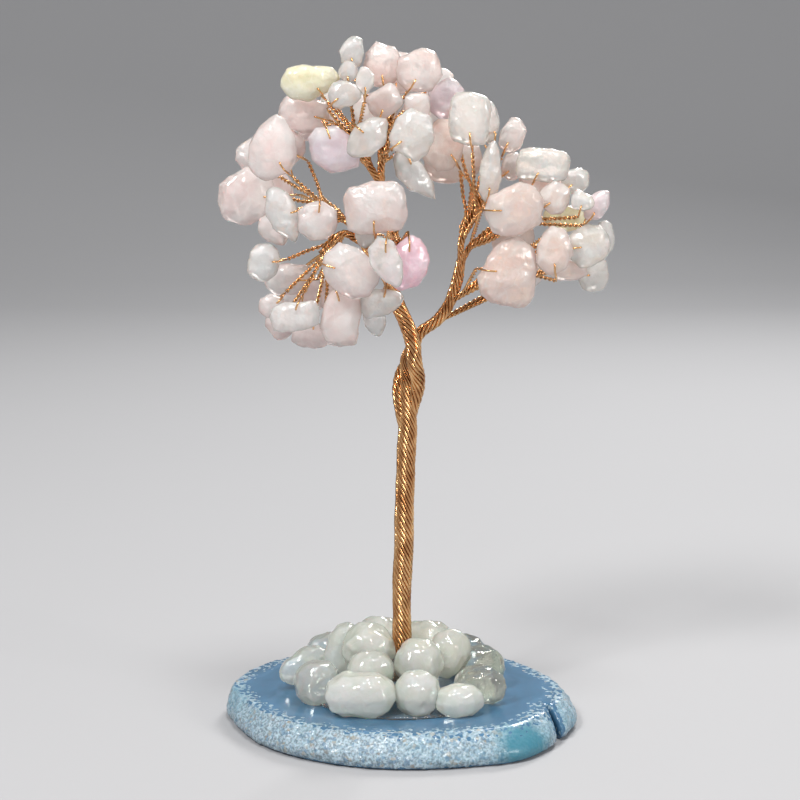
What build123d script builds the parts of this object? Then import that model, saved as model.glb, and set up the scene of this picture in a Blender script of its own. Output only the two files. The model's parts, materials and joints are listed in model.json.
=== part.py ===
# Gemstone tree ornament: a twisted wire tree hung with drilled stones, standing on a dyed agate slice.
# Millimetres, +Z up. The origin is on the table under the trunk and the viewer stands on the -Y side.
import os
from math import cos, pi, radians, sin, sqrt, tan

from build123d import *

# Driving dimensions of the base
slice_width = 79.5
slice_depth = 75.5
slice_thickness = 7.0
slice_bevel = 5.0
crack_length = 12.0
crack_width = 3.4
pebble_length = 10.0
pebble_gap = 0.08
glue_radius = 19.0
glue_height = 8.5

# Driving dimensions of the wire tree
wire_diameter = 0.32
trunk_height = 74.0
trunk_lean = 1.8
crown_rise = 4.2
root_length = 8.0
bend_gap = 0.12
twig_gap = 0.10
loop_clearance = 0.32
drill_clearance = 0.32
drill_edge = 2.4
loop_reach = 1.6
loop_bend = 0.5

# Driving dimensions of the stones in the crown, and the depth from one layer of stones to the next.
# Places in the crown are counted in stone lengths across and up, and in layers from front to back.
stone_length = 11.0
stone_thickness = 4.6
layer_depth = 6.6

# How full of metal a twisted bundle is, and how much wider than its bundle a bend's knuckle is
packing_share = 0.75
knuckle_share = 1.08

# Stone outlines, as shares of the stone's length and width, going round anticlockwise
outline_shares = {
    "oval": [(-0.50, -0.08), (-0.30, -0.44), (0.14, -0.50), (0.46, -0.22), (0.46, 0.24), (0.06, 0.50),
             (-0.36, 0.40)],
    "pear": [(-0.50, 0.04), (-0.32, -0.42), (0.02, -0.50), (0.34, -0.30), (0.50, -0.02), (0.36, 0.26),
             (0.02, 0.48), (-0.34, 0.44)],
    "leaf": [(-0.50, -0.06), (-0.26, -0.42), (0.10, -0.48), (0.38, -0.24), (0.52, 0.06), (0.24, 0.40),
             (-0.14, 0.48), (-0.42, 0.26)],
    "wedge": [(-0.48, -0.34), (-0.10, -0.48), (0.34, -0.40), (0.50, -0.06), (0.26, 0.32), (-0.14, 0.50),
              (-0.46, 0.28)],
    "block": [(-0.49, -0.28), (-0.34, -0.47), (0.28, -0.47), (0.48, -0.26), (0.50, 0.24), (0.32, 0.48),
              (-0.30, 0.46), (-0.48, 0.26)],
    "cushion": [(-0.50, -0.18), (-0.22, -0.50), (0.26, -0.46), (0.49, -0.10), (0.40, 0.36), (0.02, 0.50),
                (-0.42, 0.32)],
}

# Sections through a stone: level as a share of its thickness, size as a share of its outline
section_shares = [(-0.50, 0.50), (-0.31, 0.86), (0.0, 1.0), (0.31, 0.86), (0.50, 0.50)]

# Agate outline, as shares of the slice's width and depth from the trunk, seen from above
slice_shares = [(-0.503, 0.10), (-0.365, 0.345), (-0.18, 0.47), (0.02, 0.53), (0.16, 0.535), (0.27, 0.43),
                (0.40, 0.27), (0.487, 0.08), (0.497, -0.07), (0.44, -0.215), (0.325, -0.385), (0.20, -0.43),
                (0.02, -0.457), (-0.23, -0.39), (-0.405, -0.23), (-0.485, -0.05)]

# Ropes of twisted wire: what each grows from, where along it, which way it leaves, and the points it runs
# through, as (across, depth, up) shares in the crown
rope_shares = {
    "left_bough": ("trunk", 1.0, (0.25, -0.78, 0.57),
                   [(0.02, -0.4, 0.34), (-0.20, -0.12, 0.88), (-0.46, 0.0, 1.58)]),
    "right_bough": ("trunk", 1.0, (0.20, 0.75, 0.62),
                    [(0.16, 0.42, 0.28), (0.62, 0.25, 0.70), (0.96, 0.2, 1.45), (1.06, 0.2, 2.06)]),
    "left_limb": ("left_bough", 1.0, (-0.50, -0.70, 0.62), [(-0.86, -0.45, 2.12), (-1.16, -0.3, 2.50)]),
    "top_limb": ("left_bough", 1.0, (0.20, 0.75, 0.70),
                 [(-0.32, 0.7, 2.44), (-0.52, 0.5, 3.10), (-0.64, 0.3, 3.60)]),
}

# Sprays of stones: the rope each grows from, where along it, which way it leaves, and where its stem ends
spray_shares = {
    "far_left": ("left_limb", 1.0, (-0.55, 0.35, 0.75), (-1.86, -0.1, 3.06)),
    "low_left": ("left_limb", 1.0, (-0.80, -0.20, -0.45), (-1.74, -0.3, 1.96)),
    "centre": ("left_bough", 0.80, (-0.15, -0.98, 0.10), (-0.26, -1.0, 2.36)),
    "top_left": ("top_limb", 1.0, (-0.75, -0.45, 0.50), (-1.20, -0.2, 4.50)),
    "top": ("top_limb", 1.0, (0.30, 0.45, 0.85), (-0.40, 0.1, 4.66)),
    "upper_right": ("right_bough", 1.0, (-0.10, -0.35, 0.90), (1.40, 0.1, 3.10)),
    "right": ("right_bough", 1.0, (0.70, 0.60, 0.20), (2.10, 0.7, 2.66)),
    "low_right": ("right_bough", 0.62, (0.80, -0.50, -0.10), (2.36, 0.4, 2.06)),
    "lowest_right": ("right_bough", 0.40, (0.78, 0.62, -0.10), (2.66, 0.5, 1.58)),
}

# Stones of each spray: name of its group, (across, depth, up) in the crown, length, width and thickness as
# shares of stone_length and stone_thickness, outline, lean of its long side and turn of its face in degrees.
# A last number, where there is one, is the way its wire leaves it, in degrees from the viewer's right.
stone_shares = {
    "far_left": [
        ("rose", -2.70, -0.75, 4.12, 1.24, 0.94, 1.00, "pear", 80, -12),
        ("rose", -3.22, 1.45, 3.92, 0.66, 0.60, 0.75, "oval", 60, 20),
        ("rose", -3.26, 0.40, 3.14, 1.16, 1.04, 0.95, "cushion", 20, 8),
        ("clear", -2.50, -1.00, 2.82, 1.10, 0.62, 0.80, "leaf", -66, 10),
        ("rose", -2.74, 0.10, 2.46, 0.70, 0.52, 0.75, "pear", -45, -8),
        ("rose", -1.82, -1.30, 2.72, 0.78, 0.72, 0.80, "oval", 10, 6),
        ("rose", -2.86, 2.05, 3.12, 0.90, 0.78, 0.85, "block", 30, 0),
        ("rose", -2.50, 0.62, 4.08, 0.80, 0.70, 0.80, "oval", 0, 0, -30),
    ],
    "low_left": [
        ("clear", -2.92, -0.30, 1.84, 0.74, 0.62, 0.75, "cushion", 70, 8),
        ("rose", -2.46, 0.95, 1.42, 0.94, 0.64, 0.80, "oval", 15, -6, 0),
        ("rose", -2.76, -0.35, 0.96, 0.54, 0.46, 0.65, "oval", 0, 10),
        ("rose", -2.62, 0.50, 0.54, 0.70, 0.62, 0.80, "pear", -90, 0),
        ("clear", -2.28, -1.15, 0.82, 0.96, 0.58, 0.75, "block", 8, -10),
        ("rose", -1.98, 0.10, 0.36, 0.76, 0.56, 0.75, "wedge", -10, 6),
        ("rose", -1.56, 0.95, 0.26, 0.56, 0.40, 0.60, "oval", 5, 0, 120),
        ("rose", -1.36, -0.95, 0.90, 1.32, 0.82, 0.95, "wedge", 84, 8),
        ("rose", -1.16, -2.05, 1.76, 1.14, 0.88, 0.90, "cushion", -48, -6),
        ("rose", -2.20, 1.95, 1.00, 0.90, 0.76, 0.85, "block", 20, 0, 100),
        ("rose", -1.42, 1.20, 1.10, 0.90, 0.80, 0.85, "cushion", 60, 0),
    ],
    "centre": [
        ("rose", -0.68, -1.78, 2.98, 1.16, 0.98, 1.00, "block", 5, -6, -90),
        ("clear", -0.86, -0.97, 2.46, 0.62, 0.44, 0.60, "leaf", 80, 10),
        ("clear", -0.45, -2.68, 1.97, 1.02, 0.58, 0.75, "pear", -62, -10),
        ("pink", -0.04, -1.78, 1.90, 1.06, 0.82, 0.90, "leaf", 72, 6, 90),
        ("clear", -0.56, -1.15, 1.10, 0.84, 0.54, 0.70, "wedge", 20, 6),
        ("clear", -0.70, -0.30, 0.68, 0.66, 0.46, 0.60, "leaf", -80, -6),
    ],
    "top_left": [
        ("cream", -1.96, -0.30, 5.40, 1.12, 0.70, 0.90, "pear", 12, 10),
        ("rose", -2.12, 0.55, 4.78, 1.00, 0.72, 0.85, "oval", -5, -6),
        ("clear", -1.54, 0.95, 5.00, 0.50, 0.40, 0.55, "oval", 10, 0),
        ("mauve", -1.50, -0.95, 4.08, 1.08, 0.84, 0.90, "leaf", -36, 6, 110),
        ("clear", -1.27, -1.10, 5.18, 0.62, 0.54, 0.70, "wedge", 20, -6, -140),
        ("clear", -0.82, -1.48, 4.34, 0.94, 0.64, 0.80, "leaf", 42, 8, 140),
        ("clear", -1.22, -0.60, 5.60, 0.42, 0.34, 0.55, "oval", 80, 0),
        ("rose", -1.85, 1.60, 4.60, 0.90, 0.78, 0.85, "block", 10, 0),
        ("clear", -0.88, -1.85, 5.42, 0.52, 0.38, 0.55, "leaf", -88, 6, -90),
    ],
    "top": [
        ("clear", -1.15, 0.00, 6.00, 0.62, 0.48, 0.65, "wedge", 80, 6, -95),
        ("rose", -0.56, 0.35, 5.72, 0.84, 0.74, 0.85, "cushion", 70, -8),
        ("rose", 0.18, -0.20, 5.62, 0.86, 0.80, 0.85, "cushion", 10, 8, -120),
        ("rose", -0.50, -0.85, 5.02, 0.66, 0.56, 0.75, "block", 30, 6, -110),
        ("clear", 0.04, -1.52, 4.40, 0.94, 0.80, 0.85, "oval", 75, -6, 215),
        ("rose", 0.14, -0.75, 4.94, 0.50, 0.48, 0.62, "block", 0, 6, -150),
        ("clear", 0.08, -0.40, 3.58, 1.14, 0.54, 0.75, "leaf", -48, 8),
        ("rose", 0.62, 1.40, 5.44, 0.50, 0.44, 0.65, "oval", 0, 0),
        ("rose", -0.24, 1.50, 5.56, 0.90, 0.80, 0.85, "oval", 20, 0),
        ("rose", -0.74, 1.90, 4.80, 0.90, 0.76, 0.85, "block", 0, 0, -80),
        ("rose", 0.20, 1.75, 4.70, 0.94, 0.80, 0.85, "cushion", 50, 0, -110),
    ],
    "upper_right": [
        ("mauve", 0.72, 0.65, 5.06, 0.80, 0.70, 0.80, "oval", 60, 8),
        ("clear", 1.16, -0.80, 4.68, 0.98, 0.80, 0.85, "block", 84, -8),
        ("peach", 0.66, 0.10, 4.16, 1.00, 0.78, 0.90, "oval", 80, 6),
        ("peach", 0.90, 1.10, 3.78, 1.14, 0.78, 0.85, "cushion", 10, -6),
        ("clear", 1.58, 0.20, 4.60, 0.80, 0.50, 0.60, "leaf", 86, 50),
        ("clear", 1.58, -0.75, 3.66, 1.16, 0.44, 0.70, "pear", 86, 10),
        ("rose", 2.04, 0.10, 4.34, 0.70, 0.48, 0.70, "oval", 70, -10),
        ("rose", 2.08, 0.95, 3.70, 0.58, 0.44, 0.65, "oval", 70, 0),
        ("rose", 1.20, 1.90, 4.62, 0.84, 0.74, 0.80, "oval", 0, 0, -30),
    ],
    "right": [
        ("rose", 2.06, -1.12, 2.92, 1.12, 0.96, 0.95, "cushion", 15, 6, 180),
        ("clear", 2.64, -0.20, 3.76, 1.00, 0.66, 0.85, "block", -6, -8),
        ("rose", 2.86, -0.50, 3.12, 0.64, 0.60, 0.75, "oval", 60, 6),
        ("clear", 3.34, 0.75, 3.42, 0.58, 0.52, 0.70, "cushion", 0, 10),
        ("clear", 3.41, -0.72, 3.08, 0.46, 0.40, 0.60, "wedge", 0, -6, -105),
        ("mauve", 3.74, 0.00, 2.96, 0.70, 0.44, 0.65, "leaf", 50, 10, 235),
        ("cream", 3.14, 0.95, 2.66, 0.88, 0.52, 0.70, "oval", -6, 0),
        ("rose", 2.70, 1.50, 3.34, 0.90, 0.76, 0.85, "block", 10, 0),
    ],
    "low_right": [
        ("rose", 1.94, -1.00, 1.70, 1.34, 1.14, 1.05, "wedge", 88, 6, 175),
        ("rose", 2.84, -1.00, 2.10, 0.94, 0.66, 0.85, "oval", 84, -6, -85),
        ("clear", 3.56, -0.35, 2.18, 0.86, 0.78, 0.85, "cushion", 20, 8),
        ("clear", 3.92, 0.60, 2.26, 0.70, 0.40, 0.60, "oval", 88, -10),
        ("rose", 2.12, 1.90, 2.24, 0.84, 0.74, 0.80, "block", 0, 0),
        ("rose", 3.05, 2.02, 1.96, 0.84, 0.70, 0.80, "oval", 10, 0, 90),
    ],
    "lowest_right": [
        ("clear", 3.74, 0.50, 1.54, 0.74, 0.58, 0.75, "pear", 62, 8),
        ("rose", 3.14, -0.10, 1.67, 0.82, 0.42, 0.60, "oval", -4, 0),
        ("rose", 2.42, 1.35, 1.50, 0.62, 0.54, 0.70, "oval", 0, 0),
    ],
}

# Pebbles glued round the foot: name, (across, depth, up) of its middle from the foot, length, width and
# thickness, all as shares of pebble_length, outline, and its turns about X, Y and Z in degrees.
# A pebble gives way to those listed before it where they would meet.
pebble_shares = [
    ("front_left_pebble", -0.91, -1.72, 0.46, 1.52, 0.98, 0.88, "block", 0, 0, -6),
    ("front_pebble", 0.34, -1.66, 0.47, 1.00, 0.92, 0.90, "cushion", 0, 0, 30),
    ("upper_front_pebble", 0.39, -0.74, 0.92, 1.08, 0.96, 0.90, "cushion", 18, 0, -8),
    ("upper_left_pebble", -0.74, -0.06, 1.02, 1.20, 1.06, 1.02, "wedge", 12, 34, 0),
    ("upper_front_left_pebble", -0.70, -1.00, 0.80, 1.06, 0.80, 0.76, "oval", 15, 0, 10),
    ("front_right_pebble", 1.27, -1.76, 0.34, 1.12, 0.76, 0.64, "pear", 0, 0, 8),
    ("right_pebble", 1.76, -0.86, 0.42, 1.18, 0.88, 0.80, "leaf", 0, 0, -25),
    ("left_pebble", -1.90, -0.82, 0.46, 1.06, 0.94, 0.88, "oval", 0, 0, 20),
    ("upper_right_pebble", 1.00, -0.12, 0.90, 1.28, 0.88, 0.84, "pear", 0, -58, 0),
    ("tall_left_pebble", -1.38, 0.22, 0.92, 1.20, 0.66, 0.66, "block", 0, -76, 0),
    ("left_rod_pebble", -2.26, 0.30, 0.54, 1.20, 0.60, 0.58, "block", 0, -30, 15),
    ("right_back_pebble", 1.78, 0.16, 0.52, 1.14, 0.94, 0.86, "block", 0, 8, 40),
    ("left_back_pebble", -1.70, 1.02, 0.56, 1.12, 0.96, 0.90, "pear", 0, -20, 10),
    ("upper_back_left_pebble", -0.50, 0.84, 1.02, 1.12, 0.96, 0.90, "oval", -15, 0, 20),
    ("upper_back_right_pebble", 0.58, 0.80, 0.94, 1.10, 0.96, 0.90, "block", -15, 0, -30),
    ("back_left_pebble", -0.66, 1.86, 0.46, 1.22, 0.96, 0.88, "oval", 0, 0, -10),
    ("back_pebble", 0.56, 1.92, 0.45, 1.18, 0.96, 0.86, "cushion", 0, 0, 10),
    ("back_right_pebble", 1.52, 1.20, 0.46, 1.14, 0.92, 0.88, "oval", 0, 0, -50),
]

# Places in the crown
trunk_foot = Vector(0, 0, slice_thickness)
fork = Vector(trunk_lean, 0, slice_thickness + trunk_height)
crown_middle = fork + Vector(0, 0, crown_rise)
pair_diameter = 2 * wire_diameter


def crown_point(across, depth, up):
    return crown_middle + Vector(across * stone_length, depth * layer_depth, up * stone_length)


def bundle_diameter(pairs):
    return wire_diameter * sqrt(2 * pairs / packing_share)


def pairs_of(name):
    # Every stone hangs on one wire folded in two, so a rope carries one pair for each stone beyond it
    own = len(stone_shares.get(name, ()))
    grown = [key for key, row in list(rope_shares.items()) + list(spray_shares.items()) if row[0] == name]
    return own + sum(pairs_of(key) for key in grown)


class Run:
    # The middle line of one rope, with its diameter: straight runs joined by arcs as large as they can be
    def __init__(self, points, diameter):
        self.points = points
        self.diameter = diameter
        legs = [after - before for before, after in zip(points, points[1:])]
        radii = []
        for before, after in zip(legs, legs[1:]):
            half_turn = radians(before.get_angle(after)) / 2
            radii.append(0.45 * min(before.length, after.length) / tan(half_turn))
        self.line = FilletPolyline(*points, radius=radii) if radii else Line(*points)


def branch_start(parent, along, leaving):
    # The middle of the knuckle that a branch bends on, just clear of the rope it grows from
    def start(diameter):
        reach = parent.diameter / 2 + knuckle_share * diameter / 2 + bend_gap
        return (parent.line @ along) + Vector(*leaving).normalized() * reach
    return start


trunk_seat = trunk_foot + Vector(0, 0, bend_gap)
trunk_middle = trunk_foot + Vector(trunk_lean / 4, 0, trunk_height / 2)
runs = {"trunk": Run([trunk_seat, trunk_middle, fork], bundle_diameter(pairs_of("trunk")))}
for name, (parent, along, leaving, points) in rope_shares.items():
    diameter = bundle_diameter(pairs_of(name))
    begin = branch_start(runs[parent], along, leaving)(diameter)
    runs[name] = Run([begin] + [crown_point(*row) for row in points], diameter)
for name, (parent, along, leaving, tip) in spray_shares.items():
    diameter = bundle_diameter(pairs_of(name))
    begin = branch_start(runs[parent], along, leaving)(diameter)
    runs[name] = Run([begin, crown_point(*tip)], diameter)


class Stone:
    # Where one stone of the crown sits, how it is drilled and where its wire is twisted together
    def __init__(self, row, tip):
        self.group, across, depth, up, length, width, thick, outline, lean, turn = row[:10]
        self.length = length * stone_length
        self.width = width * stone_length
        self.thickness = thick * stone_thickness
        self.outline = outline
        facing = Vector(sin(radians(turn)), -cos(radians(turn)), 0)
        level = Vector(cos(radians(turn)), sin(radians(turn)), 0)
        along = level * cos(radians(lean)) + Vector(0, 0, sin(radians(lean)))
        self.plane = Plane(origin=crown_point(across, depth, up), x_dir=along, z_dir=facing)
        inward = self.plane.to_local_coords(tip)
        if len(row) > 10:
            inward = Vector(cos(radians(row[10] - lean)), sin(radians(row[10] - lean)), 0)
        self.inward = Vector(inward.X, inward.Y, 0).normalized()
        self.edge = self.reach(self.inward)
        self.hole = self.edge - min(drill_edge, self.edge / 2)
        self.twist = self.plane.from_local_coords(self.inward * (self.edge + loop_reach))

    def corners(self, size=1.0, grow=0.0):
        long = (self.length + 2 * grow) * size
        wide = (self.width + 2 * grow) * size
        return [(x * long, y * wide) for x, y in outline_shares[self.outline]]

    def reach(self, way):
        # How far the outline goes from the middle of the stone, in a direction of its face
        ring = self.corners()
        for (ax, ay), (bx, by) in zip(ring, ring[1:] + ring[:1]):
            side = Vector(bx - ax, by - ay, 0)
            turn = way.X * side.Y - way.Y * side.X
            if turn > 0:
                far = (ax * side.Y - ay * side.X) / turn
                share = (ax * way.Y - ay * way.X) / turn
                if far > 0 and -1e-6 <= share <= 1 + 1e-6:
                    return far
        return self.width / 2


stones = {name: [Stone(row, runs[name].line @ 1) for row in rows] for name, rows in stone_shares.items()}


def twig_ends(name):
    # One twig runs on from the stem's end. The others leave the stem's side, each at its own station, in the
    # order in which the stones lie along the stem, and a sixth of a turn or more from the two before it.
    run = runs[name]
    along = run.line % 1
    tip = run.line @ 1
    order = sorted(stones[name], key=lambda stone: -(stone.twist - tip).dot(along))
    leader = max(order, key=lambda stone: (stone.twist - tip).normalized().dot(along))
    step = min(1.5 * pair_diameter, 0.85 * run.line.length / len(order))
    beside = run.diameter / 2 + pair_diameter / 2 + twig_gap
    ends = {}
    sides = []
    back = -step / 2
    for place, stone in enumerate(order):
        onward = (stone.twist - tip).normalized()
        if stone is leader and onward.dot(along) > 0.7:
            begin = tip + along * (pair_diameter / 2 * onward.cross(along).length + twig_gap)
        else:
            aside = (stone.twist - tip) - along * (stone.twist - tip).dot(along)
            wanted = aside.length / 2 - (stone.twist - tip).dot(along)
            least = run.line.length * 0.92 - (len(order) - 1 - place) * step
            back = max(back + step, min(wanted, least))
            side = aside.normalized()
            for taken in sides[-2:]:
                if side.dot(taken) > 0.5:
                    away = (side - taken * side.dot(taken) + along.cross(taken) * 1e-3).normalized()
                    side = taken * 0.5 + away * sqrt(0.75)
            sides.append(side)
            begin = tip - along * back + side * beside
        way = (stone.twist - begin).normalized()
        ends[id(stone)] = (begin, stone.twist - way * pair_diameter / 2)
    return ends


twigs = {name: twig_ends(name) for name in spray_shares}


class Pebble:
    # Where one pebble of the pile sits
    def __init__(self, row):
        self.name, across, depth, up, length, width, thick, self.outline, *turns = row
        self.length = length * pebble_length
        self.width = width * pebble_length
        self.thickness = thick * pebble_length
        middle = trunk_foot + Vector(across, depth, up) * pebble_length
        self.plane = Plane(Location(middle, turns))

    def corners(self, size=1.0, grow=0.0):
        long = (self.length + 2 * grow) * size
        wide = (self.width + 2 * grow) * size
        return [(x * long, y * wide) for x, y in outline_shares[self.outline]]


pebbles = [Pebble(row) for row in pebble_shares]


# Solids
os.makedirs("parts", exist_ok=True)


def save(name, solids):
    node = solids[0] if len(solids) == 1 else Compound(children=solids)
    node.label = name
    export_step(node, f"parts/{name}.step")


def rounded(ring):
    # Twice as many corners, the new ones bowed outwards between the old ones
    corners = []
    for place, (x, y) in enumerate(ring):
        before, after, beyond = ring[place - 1], ring[(place + 1) % len(ring)], ring[(place + 2) % len(ring)]
        corners.append((x, y))
        corners.append(((9 * (x + after[0]) - before[0] - beyond[0]) / 16,
                        (9 * (y + after[1]) - before[1] - beyond[1]) / 16))
    return corners


def tumbled(stone, grow=0.0):
    # A tumbled stone with flat facets: one rounded outline, smaller towards both faces
    with BuildPart() as solid:
        for level, size in section_shares:
            with BuildSketch(stone.plane.offset(level * (stone.thickness + 2 * grow))):
                Polygon(*rounded(stone.corners(size, grow)), align=None)
        loft(ruled=True)
    return solid.part


def drilled(stone):
    with BuildPart() as solid:
        add(tumbled(stone))
        with Locations(stone.plane):
            with Locations(stone.inward * stone.hole):
                Hole(radius=wire_diameter / 2 + drill_clearance)
    return solid.part


def wire_loop(stone):
    # One wire, up one face of the stone, through its hole and back down the other face
    outward = stone.plane.from_local_coords(stone.inward) - stone.plane.origin
    flat = Plane(origin=stone.plane.origin, x_dir=outward, z_dir=outward.cross(stone.plane.z_dir))
    clear = stone.thickness / 2 + loop_clearance + wire_diameter / 2
    far = stone.edge + loop_reach
    rim = 0.9 * stone.edge
    apart = 0.55 * wire_diameter
    with BuildPart() as loop:
        with BuildLine(flat) as run:
            FilletPolyline((far, apart), (rim, clear), (stone.hole, clear), (stone.hole, -clear),
                           (rim, -clear), (far, -apart), radius=loop_bend)
        with BuildSketch(Plane(origin=run.line @ 0, z_dir=run.line % 0)):
            Circle(wire_diameter / 2)
        sweep()
    return loop.part


def twisted_pair(begin, end):
    with BuildPart() as pair:
        with BuildSketch(Plane(origin=begin, z_dir=end - begin)):
            Circle(pair_diameter / 2)
        extrude(amount=(end - begin).length)
    return pair.part


def rope(run, knuckle=True, crotch=False):
    # A twisted bundle as a plain tube, with the round knuckle that it bends on at its lower end, and a round
    # crotch at its upper end where other ropes grow from it
    with BuildPart() as bundle:
        with BuildLine() as line:
            add(run.line)
        with BuildSketch(Plane(origin=line.line @ 0, z_dir=line.line % 0)):
            Circle(run.diameter / 2)
        sweep()
        if knuckle:
            with Locations(line.line @ 0):
                Sphere(knuckle_share * run.diameter / 2)
        if crotch:
            with Locations(line.line @ 1):
                Sphere(run.diameter / 2)
    return bundle.part


# The agate slice: a rounded outline, widest low down, with a polished flat top and a crack in its rim
top_inset = 1 - 2 * slice_bevel / (slice_width + slice_depth)
slice_levels = [(0.0, 0.965, 0.0), (0.3, 1.0, 0.0), (0.75, (1 + top_inset) / 2, 0.5), (1.0, top_inset, 1.0)]
with BuildPart() as agate:
    for level, size, shift in slice_levels:
        middle = Vector(-0.2, 0.45, 0) * (slice_bevel * shift) + Vector(0, 0, level * slice_thickness)
        with BuildSketch(Plane(origin=middle)):
            with BuildLine():
                ring = [(x * slice_width * size, y * slice_depth * size) for x, y in slice_shares]
                Spline(*ring, periodic=True)
            make_face()
    loft()
    crack_x, crack_y = slice_shares[9]
    crack_mouth = Vector(crack_x * slice_width, crack_y * slice_depth, 0)
    with BuildSketch(Plane(origin=crack_mouth, x_dir=(-0.36, 0.93, 0))):
        Polygon((-crack_length, -crack_width), (-crack_length, crack_width), (0, crack_width / 3),
                (crack_length, 0), (0, -crack_width / 3), align=None)
    extrude(amount=slice_thickness, mode=Mode.SUBTRACT)
save("agate_slice", [agate.part])

# The trunk, and the wire ends that splay from its foot under the pebbles and hold it in the glue
trunk = rope(runs["trunk"], knuckle=False, crotch=True)
save("trunk_bundle", [trunk])
roots = []
root_count = 6
root_diameter = bundle_diameter(pairs_of("trunk") / root_count / 4)
for number in range(root_count):
    around = 2 * pi * number / root_count
    away = Vector(cos(around), sin(around), 0)
    rise = Vector(0, 0, root_diameter)
    begin = trunk_foot + away * (runs["trunk"].diameter / 2 + root_diameter / 2 + bend_gap)
    bends = [Vector(0, 0, root_length / 3), away * (root_length / 6), away * (root_length / 2)]
    roots.append(rope(Run([begin + rise + bend for bend in bends], root_diameter), knuckle=False))
save("root_wires", roots)

# The pebbles round the foot, in groups. Each stands on the slice, clear of the trunk and of those before it.
glue_seat = bend_gap / 2
trunk_socket = rope(Run(runs["trunk"].points, runs["trunk"].diameter + 2 * glue_seat), knuckle=False)
pile_floor = Plane(origin=trunk_foot + Vector(0, 0, pebble_gap))


def meet(one, other):
    first, second = one.bounding_box(), other.bounding_box()
    across = first.min.X < second.max.X and second.min.X < first.max.X
    deep = first.min.Y < second.max.Y and second.min.Y < first.max.Y
    return across and deep and first.min.Z < second.max.Z and second.min.Z < first.max.Z


pebble_solids = {}
in_the_way = [trunk_socket] + roots
for pebble in pebbles:
    shape = tumbled(pebble)
    with BuildPart() as trimmed:
        add(shape)
        for other in in_the_way:
            if meet(shape, other):
                add(other, mode=Mode.SUBTRACT)
        split(bisect_by=pile_floor, keep=Keep.TOP)
    pebble_solids[pebble.name] = trimmed.part.solids().sort_by(SortBy.VOLUME)[-1]
    in_the_way.append(tumbled(pebble, pebble_gap))
pebble_groups = {
    "front_pebbles": ["front_left_pebble", "front_pebble", "front_right_pebble"],
    "right_pebbles": ["right_pebble", "right_back_pebble", "back_right_pebble"],
    "left_pebbles": ["left_pebble", "left_rod_pebble", "left_back_pebble"],
    "back_pebbles": ["back_left_pebble", "back_pebble"],
    "upper_pebbles": ["upper_front_left_pebble", "upper_front_pebble", "upper_right_pebble",
                      "upper_left_pebble", "tall_left_pebble", "upper_back_left_pebble",
                      "upper_back_right_pebble"],
}
for name, members in pebble_groups.items():
    save(name, [pebble_solids[member] for member in members])

# The clear glue: a thin pool with a mound round the trunk, hollow wherever a pebble or a wire sits in it
with BuildPart() as glue:
    with BuildSketch(Plane(origin=trunk_foot)):
        Circle(glue_radius * 1.12)
    extrude(amount=glue_height / 14)
    with BuildSketch(Plane(origin=trunk_foot)):
        Circle(glue_radius)
    with BuildSketch(Plane(origin=trunk_foot + Vector(0, 0, glue_height))):
        Circle(glue_radius / 5)
    loft()
    for pebble in pebbles:
        add(tumbled(pebble, glue_seat), mode=Mode.SUBTRACT)
    add(trunk_socket, mode=Mode.SUBTRACT)
    for root in roots:
        add(root, mode=Mode.SUBTRACT)
save("glue_bed", [glue.part.solids().sort_by(SortBy.VOLUME)[-1]])

# Boughs, limbs and the stems of the sprays
for name in rope_shares:
    save(name, [rope(runs[name], crotch=True)])
for name in spray_shares:
    save(f"{name}_stem", [rope(runs[name])])

# The wires and the stones of every spray
for name, members in stones.items():
    wires = []
    for stone in members:
        wires.append(twisted_pair(*twigs[name][id(stone)]))
        wires.append(wire_loop(stone))
    save(f"{name}_wires", wires)
    for group in dict.fromkeys(stone.group for stone in members):
        chosen = [drilled(stone) for stone in members if stone.group == group]
        save(f"{name}_{group}_stone" + ("s" if len(chosen) > 1 else ""), chosen)
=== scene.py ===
import json
from math import cos, pi, radians, tan, tau

import bpy
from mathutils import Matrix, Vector
from mathutils.kdtree import KDTree


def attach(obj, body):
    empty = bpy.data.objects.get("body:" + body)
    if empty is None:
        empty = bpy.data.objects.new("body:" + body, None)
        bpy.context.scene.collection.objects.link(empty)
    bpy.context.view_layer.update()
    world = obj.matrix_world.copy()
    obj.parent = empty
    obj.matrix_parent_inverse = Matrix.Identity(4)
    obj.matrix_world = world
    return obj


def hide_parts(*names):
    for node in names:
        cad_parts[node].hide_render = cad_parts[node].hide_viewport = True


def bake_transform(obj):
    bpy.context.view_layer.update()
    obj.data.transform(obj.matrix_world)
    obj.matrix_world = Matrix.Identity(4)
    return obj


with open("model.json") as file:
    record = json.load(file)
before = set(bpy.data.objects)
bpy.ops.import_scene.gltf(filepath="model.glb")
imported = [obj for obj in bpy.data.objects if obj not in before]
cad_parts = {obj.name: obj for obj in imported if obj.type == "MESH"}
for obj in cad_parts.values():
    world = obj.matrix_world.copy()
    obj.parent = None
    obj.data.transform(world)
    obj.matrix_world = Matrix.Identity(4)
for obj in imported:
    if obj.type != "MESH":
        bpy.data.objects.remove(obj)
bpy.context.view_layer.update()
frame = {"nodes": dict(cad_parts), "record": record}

bl_info = {
    "name": "Gemstone Tree",
    "version": (1, 0, 0),
    "blender": (4, 5, 0),
    "location": "3D View > Sidebar > Gemstone Tree",
    "description": "Twisted wire tree hung with drilled stones, on an agate slice",
    "category": "Object",
}

# The frame's joints, bodies and nodes by name
MM = 0.001
JOINTS = {joint["name"]: joint for joint in frame["record"]["behaviour"]["joints"]}
BODIES = frame["record"]["behaviour"]["bodies"]
BODY_OF = {node: body for body, nodes in BODIES.items() for node in nodes}
NODES = frame["nodes"]

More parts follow.
